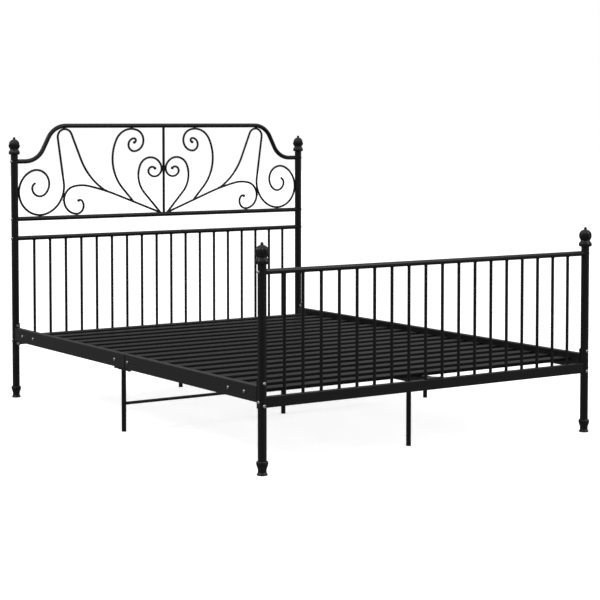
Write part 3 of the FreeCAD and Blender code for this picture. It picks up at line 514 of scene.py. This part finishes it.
# ---- turned and moulded ends ------------------------------------------------------------------
def curve_through(points, steps):
    """Smooth curve through (radius, height) points: Catmull-Rom pieces of the given steps.

    Each piece is the cubic whose ends have half the difference of the neighbouring points
    as their slopes; the outermost points are used twice.
    """
    table = np.array([points[0], *points, points[-1]], float)
    s = np.linspace(0.0, 1.0, steps, endpoint=False)[:, None]
    pieces = []
    for k in range(1, len(table) - 2):
        before, start, end, after = table[k - 1:k + 3]
        pieces.append(0.5 * (2.0 * start + (end - before) * s
                             + (2.0 * before - 5.0 * start + 4.0 * end - after) * s ** 2
                             + (3.0 * start - before - 3.0 * end + after) * s ** 3))
    pieces.append(table[-1:])
    return np.vstack(pieces).T


def arc(middle_radius, middle_height, size, start, end, steps):
    """Points of a profile on a circle about a middle, between two angles in degrees from level."""
    angle = np.radians(np.linspace(start, end, steps))
    return size * np.stack([np.cos(angle), np.sin(angle)]) + [[middle_radius], [middle_height]]


def finial_surface(lobes, depth, turn):
    """Finial on the origin: radius and height run along a turned profile.

    The profile is a bell, a ball and a small knob.  The ball is parted into lobes: its skin lies
    back by the depth times the sine of the distance from the lobe's middle to the power 2.6.  A
    calyx of leaves, one over each groove, wraps the ball's lower half and stands out by a step;
    each leaf's height falls from its middle as the distance to the power 1.3, and a thin vein
    lies back along it.  The ball just above the leaves lies back a little further.  The bell
    has one shallow hollow under each groove.
    """
    around = lobes * 32
    turns = circle_turns(around)[None, :]
    bell = curve_through([(21.4, 0.25), (24.3, 1.9), (25.8, 5.6), (25.8, 10.0), (24.6, 14.2),
                          (22.4, 17.8), (19.9, 20.8), (18.4, 23.2), (18.0, 24.9)], 5)
    ball = arc(0.0, 43.0, 26.1, -44.0, 73.5, 72)
    neck = np.array([[6.2, 5.3], [68.0, 69.0]])
    knob = arc(0.0, 72.6, 5.9, -28.0, 86.0, 12)
    profile = np.hstack([bell, ball, neck, knob])
    radius, height = profile[0][:, None], profile[1][:, None]
    on_ball = smooth_step(25.0, 28.0, height) * (1.0 - smooth_step(63.0, 67.5, height))
    on_bell = smooth_step(0.5, 5.0, height) * (1.0 - smooth_step(13.0, 21.0, height))
    offset = np.abs((turns * lobes / TAU) % 1.0 * 2.0 - 1.0)
    beside = 1.0 - offset
    leaf_width = 0.8
    tips = 27.0 + 17.0 * (1.0 - np.clip(beside / leaf_width, 0.0, 1.0) ** 1.3)
    calyx = smooth_step(-0.5, 0.5, tips - height)
    leaf = 0.1 + 0.5 * (beside / leaf_width) ** 2.0 + 0.25 * np.exp(-(beside / 0.07) ** 2)
    ground = 0.3 * (1.0 - smooth_step(46.0, 56.0, height))
    lobe = np.abs(np.sin(0.5 * math.pi * offset)) ** 2.6 + ground
    back = on_ball * (calyx * leaf + (1.0 - calyx) * lobe)
    radius = radius - depth / MM * (back + 0.8 * on_bell * offset ** 2.0)
    return ring_surface(turned(radius, height, turns + turn) * MM)


def foot_surface(flutes, depth, socket_radius, socket_floor):
    """Plastic foot on the origin, open socket included.

    The profile is a base ring, a hollow waist, a bell and a lip, and then the socket's wall
    down to its floor.  Flutes are hollows round the waist, with a quarter of their depth left
    between them.  Their tops are round: a flute ends at a height that follows the root of one
    less the squared distance from its middle.
    """
    around = flutes * 20
    turns = circle_turns(around)[None, :]
    base = arc(16.4, 3.25, 3.2, -88.0, 62.0, 9)
    side = curve_through([(17.3, 7.6), (16.3, 10.6), (16.0, 15.0), (16.3, 20.0), (17.5, 25.6),
                          (19.1, 31.0), (20.5, 35.8), (21.4, 40.4), (21.7, 44.6), (21.0, 48.0),
                          (19.4, 50.2), (17.9, 51.0), (16.9, 50.7)], 6)
    socket = np.array([[socket_radius / MM + 0.1] * 3, [50.0, 40.0, socket_floor / MM]])
    profile = np.hstack([base, side, socket])
    radius, height = profile[0][:, None], profile[1][:, None]
    outside = np.ones_like(radius)
    inner_rings = socket.shape[1] + 1
    outside[-inner_rings:] = 0.0
    offset = np.abs((turns * flutes / TAU) % 1.0 * 2.0 - 1.0)
    flute_share = 0.8
    within = np.clip(offset / flute_share, 0.0, 1.0)
    limit = 31.0 + 7.0 * np.sqrt(1.0 - within ** 2)
    zone = smooth_step(8.5, 11.5, height) * smooth_step(0.0, 1.4, limit - height)
    flute = zone * (0.25 + 0.75 * (1.0 - within ** 2.5)) * np.clip((height - 2.0) / 26.0, 0.4, 1.0)
    radius = radius - outside * depth / MM * flute
    return ring_surface(turned(radius, height, turns) * MM)


# ---- bolts and nuts ---------------------------------------------------------------------------
def bolt_surface(head_radius, head_height, key_size, shank_radius, shank_length):
    """Domed socket screw: seat on the origin, head towards +Z and shank towards -Z.

    The socket's rings are hexagons: half the key size over the cosine of the angle from the
    nearest flat's middle.  The dome's radius falls as the cosine while its height grows as the
    sine, with a flat round the socket.
    """
    around = 36
    turns = circle_turns(around)[None, :]
    to_flat = (turns + math.pi / 6.0) % (math.pi / 3.0) - math.pi / 6.0
    hexagon = 0.5 * key_size / np.cos(to_flat)
    rim = 0.62 * key_size
    dome = np.radians(np.linspace(78.0, 4.0, 9))
    dome_radius = rim + (head_radius - rim) * np.cos(dome)
    dome_height = 0.3 * MM + (head_height - 0.3 * MM) * np.sin(dome)
    radii = [0.6 * hexagon, hexagon, hexagon, hexagon * 0.4 + rim * 0.66]
    heights = [head_height - 2.6 * MM, head_height - 2.4 * MM, head_height - 0.25 * MM, head_height]
    radii += [np.full_like(turns, value) for value in dome_radius]
    heights += list(dome_height)
    for radius, height in ((head_radius, 0.25 * MM), (head_radius - 0.25 * MM, 0.0),
                           (shank_radius, 0.0), (shank_radius, -shank_length + 0.5 * MM),
                           (shank_radius - 0.5 * MM, -shank_length)):
        radii.append(np.full_like(turns, radius))
        heights.append(height)
    radius = np.vstack(radii)
    height = np.array(heights)[:, None]
    return ring_surface(turned(radius, height, turns))


def nut_surface(flats, height, bore_radius):
    """Hexagon nut on the origin towards +Z, its corners cut back by a cone at both faces."""
    around = 72
    turns = circle_turns(around)[None, :]
    to_flat = (turns + math.pi / 6.0) % (math.pi / 3.0) - math.pi / 6.0
    hexagon = 0.5 * flats / np.cos(to_flat)
    levels = np.array([0.0, 0.0, 0.12, 0.3, 0.7, 0.88, 1.0, 1.0])
    cones = np.array([0.9, 0.985, 1.055, 2.0, 2.0, 1.055, 0.985, 0.9])
    outer = np.minimum(hexagon, 0.5 * flats * cones[:, None])
    outer[0] = bore_radius * 1.08
    outer[-1] = bore_radius * 1.08
    bore = np.full((2, around), bore_radius)
    radius = np.vstack([outer, bore])
    rings = turned(radius, (np.append(levels, [0.94, 0.06]) * height)[:, None], turns)
    return ring_surface(rings, poles=False)


def bolt(place, outward, shank_radius, shank_length, detail):
    made = bolt_surface(detail.head_radius, detail.head_height, detail.key_size,
                        shank_radius, shank_length)
    return placed(made, place, outward)


def frame_bolt_heights():
    """Heights of the two through bolts: a tenth of the saddle's height from its ends."""
    low, high = node_box("saddle_foot_left")
    inset = 0.1 * (high[2] - low[2])
    return low[2] + inset, high[2] - inset


def frame_bolt_surfaces(detail):
    surfaces = []
    post_radius = half_size("foot_left_post", 0)
    length = 2.0 * post_radius - HEAD_SINK + SADDLE_WALL - NUT_SINK + NUT_HEIGHT
    for _, _, x, y, _ in corner_places():
        way = outward_sign(y)
        for z in frame_bolt_heights():
            seat = (x, y + way * (post_radius - HEAD_SINK), z)
            surfaces.append(bolt(seat, (0.0, way, 0.0), THICK_BOLT_RADIUS, length, detail))
    return surfaces


def cross_rail_bolt_surfaces(detail):
    rails = {"head": ("head_bottom_rail", "head_lower_rail", "head_upper_rail"),
             "foot": ("foot_bottom_rail", "foot_top_rail")}
    post_radius = half_size("foot_left_post", 0)
    length = 2.0 * post_radius + CROSS_BOLT_GRIP
    surfaces = []
    for end, _, x, y, _ in corner_places():
        heights = [middle(node)[2] for node in rails[end]]
        if end == "head":
            heights.append(node_box("head_top_rail")[0][2] + half_size("foot_top_rail", 1))
        way = outward_sign(x)
        for z in heights:
            seat = (x + way * (post_radius - HEAD_SINK), y, z)
            surfaces.append(bolt(seat, (way, 0.0, 0.0), THIN_BOLT_RADIUS, length, detail))
    return surfaces


def slat_rows():
    """Y of every slat."""
    low, high = node_box("slats")
    return np.linspace(low[1] + SLAT_WIDTH / 2.0, high[1] - SLAT_WIDTH / 2.0, SLAT_COUNT)


def slat_bolt_surfaces(detail):
    rows = slat_rows()
    surfaces = []
    for number in BOLTED_SLATS:
        for side in SIDES:
            low, high = node_box("side_rail_foot_" + side)
            x = low[0] if side == "left" else high[0]
            way = outward_sign(x)
            seat = (x, rows[number], (low[2] + high[2]) / 2.0)
            surfaces.append(bolt(seat, (way, 0.0, 0.0), THIN_BOLT_RADIUS, SLAT_BOLT_LENGTH, detail))
    return surfaces


def beam_bolt_surfaces(detail):
    beam_top = node_box("centre_beam")[1][2]
    up = (0.0, 0.0, 1.0)
    surfaces = []
    for name in ("foot", "middle", "head"):
        place = middle("centre_leg_" + name)
        seat = (0.0, place[1], beam_top)
        surfaces.append(bolt(seat, up, THICK_BOLT_RADIUS, LEG_BOLT_LENGTH, detail))
    for end in ENDS:
        low, high = node_box("beam_bracket_" + end)
        post_y = middle(end + "_left_post")[1]
        seat = (0.0, post_y - outward_sign(post_y) * BRACKET_BOLT_INSET, high[2])
        surfaces.append(bolt(seat, up, THICK_BOLT_RADIUS, BRACKET_BOLT_LENGTH, detail))
    return surfaces


def joint_bolt_surfaces(detail):
    low, high = node_box("joint_bolts")
    down = (0.0, 0.0, -1.0)
    surfaces = []
    for side in SIDES:
        plate_low, _ = node_box("joint_plate_" + side)
        x = middle("joint_plate_" + side)[0]
        for y in (low[1] + detail.head_radius, high[1] - detail.head_radius):
            seat = (x, y, plate_low[2])
            surfaces.append(bolt(seat, down, THIN_BOLT_RADIUS, JOINT_BOLT_LENGTH, detail))
    return surfaces


def frame_nut_surfaces():
    surfaces = []
    nut = nut_surface(NUT_FLATS, NUT_HEIGHT, THICK_BOLT_RADIUS)
    reach = half_size("foot_left_post", 0) + SADDLE_WALL - NUT_SINK
    for _, _, x, y, _ in corner_places():
        way = outward_sign(y)
        for z in frame_bolt_heights():
            place = (x, y - way * reach, z)
            surfaces.append(placed(nut, place, (0.0, -way, 0.0)))
    return surfaces


# ---- weld beads -------------------------------------------------------------------------------
def spindle_beads(end, bead):
    """Beads round every spindle's two ends.

    At the flat rail the line is a circle a bead outside the spindle.  At the round rail its
    height follows the rail: the rail's middle less the root of its radius squared less the
    line's distance from the middle line squared.
    """
    low, high = node_box(end + "_spindles")
    rail_name = "head_lower_rail" if end == "head" else "foot_top_rail"
    rail = middle(rail_name)
    rail_radius = half_size("foot_top_rail", 1)
    spindle_radius = half_size(end + "_spindles", 1)
    radius = spindle_radius + 0.35 * bead
    turns = circle_turns(20)
    flat = np.stack([np.cos(turns), np.sin(turns), 0.0 * turns], -1)
    up = np.tile([0.0, 0.0, 1.0], (len(turns), 1))
    surfaces = []
    for x in np.linspace(low[0] + spindle_radius, high[0] - spindle_radius, SPINDLE_COUNT):
        foot = flat * radius + np.array([x, rail[1], low[2] + 0.2 * bead])
        surfaces.append(bead_along(foot, flat, up, bead, 9))
        reach = np.sqrt(rail_radius ** 2 - (radius * np.sin(turns)) ** 2)
        head = flat * radius + np.array([x, rail[1], 0.0])
        head[:, 2] = rail[2] - reach - 0.2 * bead
        surfaces.append(bead_along(head, flat, up, bead, 9))
    return surfaces


def blob(place, along, bead):
    """Tack weld: an ellipsoid three beads long and one and a half wide along a direction."""
    angle = np.radians(np.linspace(-75.0, 75.0, 9))[:, None]
    turns = circle_turns(12)[None, :]
    rings = turned(1.7 * bead * np.cos(angle), 3.2 * bead * np.sin(angle), turns)
    return placed(ring_surface(rings), place, along)


def extreme(node, axis, way):
    """Vertex of a node that lies furthest along an axis."""
    mesh = frame["nodes"][node].data
    points = np.zeros(len(mesh.vertices) * 3)
    mesh.vertices.foreach_get("co", points)
    points = points.reshape(-1, 3)
    return points[np.argmax(way * points[:, axis])]


def scroll_beads(bead):
    """Tack welds where scrolls touch rails, posts, bar or each other."""
    along_x = (1.0, 0.0, 0.0)
    along_z = (0.0, 0.0, 1.0)
    surfaces = []
    for side in SIDES:
        out = -1.0 if side == "left" else 1.0
        touches = (("outer", 0, out, along_z), ("outer", 2, -1.0, along_x), ("outer", 2, 1.0, along_x),
                   ("lower", 2, -1.0, along_x), ("lower", 0, out, along_z),
                   ("upper", 2, 1.0, along_x), ("heart", 0, -out, along_z),
                   ("outer", 0, -out, along_x), ("upper", 2, -1.0, along_x),
                   ("heart", 2, -1.0, along_x))
        for name, axis, way, along in touches:
            spot = extreme(name + "_scroll_" + side, axis, way)
            spot[1] = middle("head_centre_bar")[1]
            for face in (-1.0, 1.0):
                place = spot + np.array([0.0, face * 1.5 * MM, 0.0])
                surfaces.append(blob(place, along, bead))
    return surfaces


def saddle_beads(bead):
    """Bead round each side rail's end on its saddle.

    The line runs round the rail's rounded oblong; its length coordinate follows the saddle's
    round: the root of the saddle's radius squared less the distance from the post's middle squared.
    """
    turns = circle_turns(64)
    power = 0.22
    cosine, sine = np.cos(turns), np.sin(turns)
    oblong_x = np.sign(cosine) * np.abs(cosine) ** power
    oblong_z = np.sign(sine) * np.abs(sine) ** power
    saddle_radius = half_size("foot_left_post", 0) + SADDLE_WALL
    surfaces = []
    for end, side, x, y, _ in corner_places():
        low, high = node_box("side_rail_" + end + "_" + side)
        half_width = (high[0] - low[0]) / 2.0
        half_height = (high[2] - low[2]) / 2.0
        way = outward_sign(y)
        dx = half_width * oblong_x
        line = np.stack([x + dx, y - way * np.sqrt(saddle_radius ** 2 - dx ** 2),
                         (low[2] + high[2]) / 2.0 + half_height * oblong_z], -1)
        outward = np.stack([oblong_x, 0.0 * turns, oblong_z], -1)
        outward /= np.linalg.norm(outward, axis=1, keepdims=True)
        across = np.tile([0.0, 1.0, 0.0], (len(turns), 1))
        surfaces.append(bead_along(line, across, outward, bead * 1.25, 24))
    return surfaces


def leg_beads(bead):
    """Bead round each middle leg under its joint plate: a circle just outside the leg."""
    turns = circle_turns(40)
    flat = np.stack([np.cos(turns), np.sin(turns), 0.0 * turns], -1)
    up = np.tile([0.0, 0.0, 1.0], (len(turns), 1))
    surfaces = []
    for side in SIDES:
        low, high = node_box("middle_leg_" + side)
        place = np.array([(low[0] + high[0]) / 2.0, 0.0, high[2] - 0.3 * bead])
        radius = (high[0] - low[0]) / 2.0 + 0.3 * bead
        surfaces.append(bead_along(flat * radius + place, flat, up, bead, 18))
    return surfaces


# ---- operators --------------------------------------------------------------------------------
class BED_OT_finishes(bpy.types.Operator):
    """Give every part of the frame the finish of its slot."""

    bl_idname = "bed.finishes"
    bl_label = "Finishes"

    def execute(self, context):
        for part in frame["record"]["subparts"]:
            node = frame["nodes"][part["node"]]
            material = finish(part["material_slot"])
            if not node.material_slots:
                node.data.materials.append(material)
            for slot in node.material_slots:
                slot.material = material
        return {"FINISHED"}


class BED_OT_finials(bpy.types.Operator):
    """Put a leafed ball finial on each corner post."""

    bl_idname = "bed.finials"
    bl_label = "Finials"

    def execute(self, context):
        detail = context.scene.bed_detail
        for end, side, x, y, top in corner_places():
            turn = math.radians(FINIAL_TURNS[end + "_" + side])
            made = placed(finial_surface(detail.lobes, detail.lobe_depth, turn), (x, y, top))
            node = end + "_" + side + "_finial"
            piece("leafed_" + node, made, "black_plastic", stands_for=(node,))
        return {"FINISHED"}


class BED_OT_feet(bpy.types.Operator):
    """Put a fluted plastic foot under each corner post."""

    bl_idname = "bed.feet"
    bl_label = "Feet"

    def execute(self, context):
        detail = context.scene.bed_detail
        post_radius = half_size("foot_left_post", 0)
        post_bottom = node_box("foot_left_post")[0][2]
        for end, side, x, y, _ in corner_places():
            foot = foot_surface(detail.foot_flutes, detail.flute_depth, post_radius, post_bottom)
            made = placed(foot, (x, y, 0.0))
            node = end + "_" + side + "_foot"
            piece("fluted_" + node, made, "black_plastic", stands_for=(node,))
        return {"FINISHED"}


class BED_OT_bolts(bpy.types.Operator):
    """Put domed socket screws and chamfered nuts in the frame's joints."""

    bl_idname = "bed.bolts"
    bl_label = "Bolts and nuts"

    def execute(self, context):
        detail = context.scene.bed_detail
        for node, surfaces in (("frame_bolts", frame_bolt_surfaces(detail)),
                               ("cross_rail_bolts", cross_rail_bolt_surfaces(detail)),
                               ("slat_bolts", slat_bolt_surfaces(detail)),
                               ("beam_bolts", beam_bolt_surfaces(detail)),
                               ("joint_bolts", joint_bolt_surfaces(detail)),
                               ("frame_nuts", frame_nut_surfaces())):
            piece("plated_" + node, joined(surfaces), "zinc_steel", stands_for=(node,))
        return {"FINISHED"}


class BED_OT_welds(bpy.types.Operator):
    """Lay weld beads on spindles, scrolls, saddles and legs."""

    bl_idname = "bed.welds"
    bl_label = "Weld beads"

    def execute(self, context):
        bead = context.scene.bed_detail.bead_size
        for name, surfaces in (("foot_spindle_beads", spindle_beads("foot", bead)),
                               ("head_spindle_beads", spindle_beads("head", bead)),
                               ("scroll_beads", scroll_beads(bead)),
                               ("saddle_beads", saddle_beads(bead)),
                               ("leg_beads", leg_beads(bead))):
            piece(name, joined(surfaces), "black_powder_coat", sharp=80.0)
        return {"FINISHED"}


class BED_OT_stage(bpy.types.Operator):
    """Set out the pale floor, the soft lights and the camera.

    The floor is see-through from below, so that a view from there shows the bed.
    """

    bl_idname = "bed.stage"
    bl_label = "Stage"

    def execute(self, context):
        stage = context.scene.bed_stage
        floor_mesh = bpy.data.meshes.new("floor")
        half = 30.0
        floor_mesh.from_pydata([(-half, -half, 0.0), (half, -half, 0.0), (half, half, 0.0),
                                (-half, half, 0.0)], [], [(0, 1, 2, 3)])
        floor = bpy.data.objects.new("floor", floor_mesh)
        context.scene.collection.objects.link(floor)
        paint = bpy.data.materials.new("pale_floor")
        paint.use_nodes = True
        shader = paint.node_tree.nodes["Principled BSDF"]
        shader.inputs["Base Color"].default_value = (*stage.floor_colour, 1.0)
        shader.inputs["Roughness"].default_value = 0.85
        shader.inputs["Specular IOR Level"].default_value = 0.2
        shader.inputs["Emission Color"].default_value = (1.0, 1.0, 1.0, 1.0)
        shader.inputs["Emission Strength"].default_value = stage.floor_glow
        side = add_node(paint.node_tree, "ShaderNodeNewGeometry")
        upper_face = math_node(paint.node_tree, "SUBTRACT", 1.0, side.outputs["Backfacing"])
        paint.node_tree.links.new(upper_face, shader.inputs["Alpha"])
        floor_mesh.materials.append(paint)
        floor.visible_glossy = False
        self.add_world(context.scene, stage)
        context.scene.view_settings.view_transform = "Standard"
        middle_up = (0.0, 0.0, 0.5)
        self.add_light(context, "left_box", (-4.0, 0.3, 3.2), middle_up, 1.5, stage.box_power)
        self.add_light(context, "right_box", (1.8, -3.6, 3.2), middle_up, 1.5, stage.box_power)
        self.add_camera(context, stage)
        return {"FINISHED"}

    def add_world(self, scene, stage):
        """White surroundings; as a light they are strong overhead, weak on the level, and a
        little stronger to the left and right of the view."""
        world = bpy.data.worlds.new("soft_studio")
        world.use_nodes = True
        tree = world.node_tree
        links = tree.links
        sky = tree.nodes["Background"]
        sky.inputs["Color"].default_value = (1.0, 1.0, 1.0, 1.0)
        place = add_node(tree, "ShaderNodeTexCoord")
        split = add_node(tree, "ShaderNodeSeparateXYZ")
        links.new(place.outputs["Generated"], split.inputs[0])
        ramp = add_node(tree, "ShaderNodeMapRange", interpolation_type="SMOOTHSTEP",
                        inputs={"From Min": 0.1, "From Max": 0.8, "To Min": stage.horizon_strength,
                                "To Max": stage.sky_strength})
        links.new(split.outputs["Z"], ramp.inputs["Value"])
        across = add_node(tree, "ShaderNodeVectorMath", operation="DOT_PRODUCT")
        links.new(place.outputs["Generated"], across.inputs[0])
        heading = stage.camera_heading
        across.inputs[1].default_value = (math.cos(heading), -math.sin(heading), 0.0)
        sideways = math_node(tree, "ABSOLUTE", across.outputs["Value"], 0.0)
        beside = add_node(tree, "ShaderNodeMapRange", interpolation_type="SMOOTHSTEP",
                          inputs={"From Min": 0.45, "From Max": 0.95, "To Min": 0.0,
                                  "To Max": stage.side_strength})
        links.new(sideways, beside.inputs["Value"])
        total = math_node(tree, "ADD", ramp.outputs[0], beside.outputs[0])
        path = add_node(tree, "ShaderNodeLightPath")
        seen = add_node(tree, "ShaderNodeMix", inputs={"B": 1.0})
        links.new(path.outputs["Is Camera Ray"], seen.inputs["Factor"])
        links.new(total, seen.inputs["A"])
        links.new(seen.outputs[0], sky.inputs["Strength"])
        scene.world = world

    def add_light(self, context, name, place, target, size, power):
        lamp = bpy.data.lights.new(name, "AREA")
        lamp.shape = "DISK"
        lamp.size = size
        lamp.energy = power
        thing = bpy.data.objects.new(name, lamp)
        context.scene.collection.objects.link(thing)
        thing.location = place
        away = np.array(place) - np.array(target)
        heading = math.atan2(away[0], -away[1])
        tilt = math.atan2(math.hypot(away[0], away[1]), away[2])
        thing.rotation_euler = (tilt, 0.0, heading)

    def add_camera(self, context, stage):
        camera = bpy.data.cameras.new("camera")
        camera.lens = stage.camera_lens
        camera.sensor_width = 36.0
        camera.shift_y = stage.camera_shift
        camera.clip_end = 100.0
        thing = bpy.data.objects.new("camera", camera)
        context.scene.collection.objects.link(thing)
        thing.location = stage.camera_place
        thing.rotation_euler = (math.pi / 2.0 - stage.camera_pitch, 0.0, -stage.camera_heading)
        context.scene.camera = thing


class BED_PT_panel(bpy.types.Panel):
    """Sidebar panel with the steps that dress the bed frame."""

    bl_label = "Metal Bed Frame"
    bl_idname = "BED_PT_panel"
    bl_space_type = "VIEW_3D"
    bl_region_type = "UI"
    bl_category = "Bed Frame"

    def draw(self, context):
        layout = self.layout
        for settings in (context.scene.bed_finish, context.scene.bed_detail, context.scene.bed_stage):
            column = layout.column(align=True)
            for label in settings.__annotations__:
                column.prop(settings, label)
        for step in STEPS:
            layout.operator(step.bl_idname)


STEPS = (BED_OT_finishes, BED_OT_finials, BED_OT_feet, BED_OT_bolts, BED_OT_welds, BED_OT_stage)
SETTINGS = (("bed_finish", BedFinishSettings), ("bed_detail", BedDetailSettings),
            ("bed_stage", BedStageSettings))


def register():
    for name, settings in SETTINGS:
        bpy.utils.register_class(settings)
        setattr(bpy.types.Scene, name, bpy.props.PointerProperty(type=settings))
    for step in STEPS:
        bpy.utils.register_class(step)
    bpy.utils.register_class(BED_PT_panel)


def unregister():
    bpy.utils.unregister_class(BED_PT_panel)
    for step in reversed(STEPS):
        bpy.utils.unregister_class(step)
    for name, settings in reversed(SETTINGS):
        delattr(bpy.types.Scene, name)
        bpy.utils.unregister_class(settings)


def main():
    register()
    bpy.ops.bed.finishes()
    bpy.ops.bed.finials()
    bpy.ops.bed.feet()
    bpy.ops.bed.bolts()
    bpy.ops.bed.welds()
    bpy.ops.bed.stage()


if __name__ == "__main__":
    main()
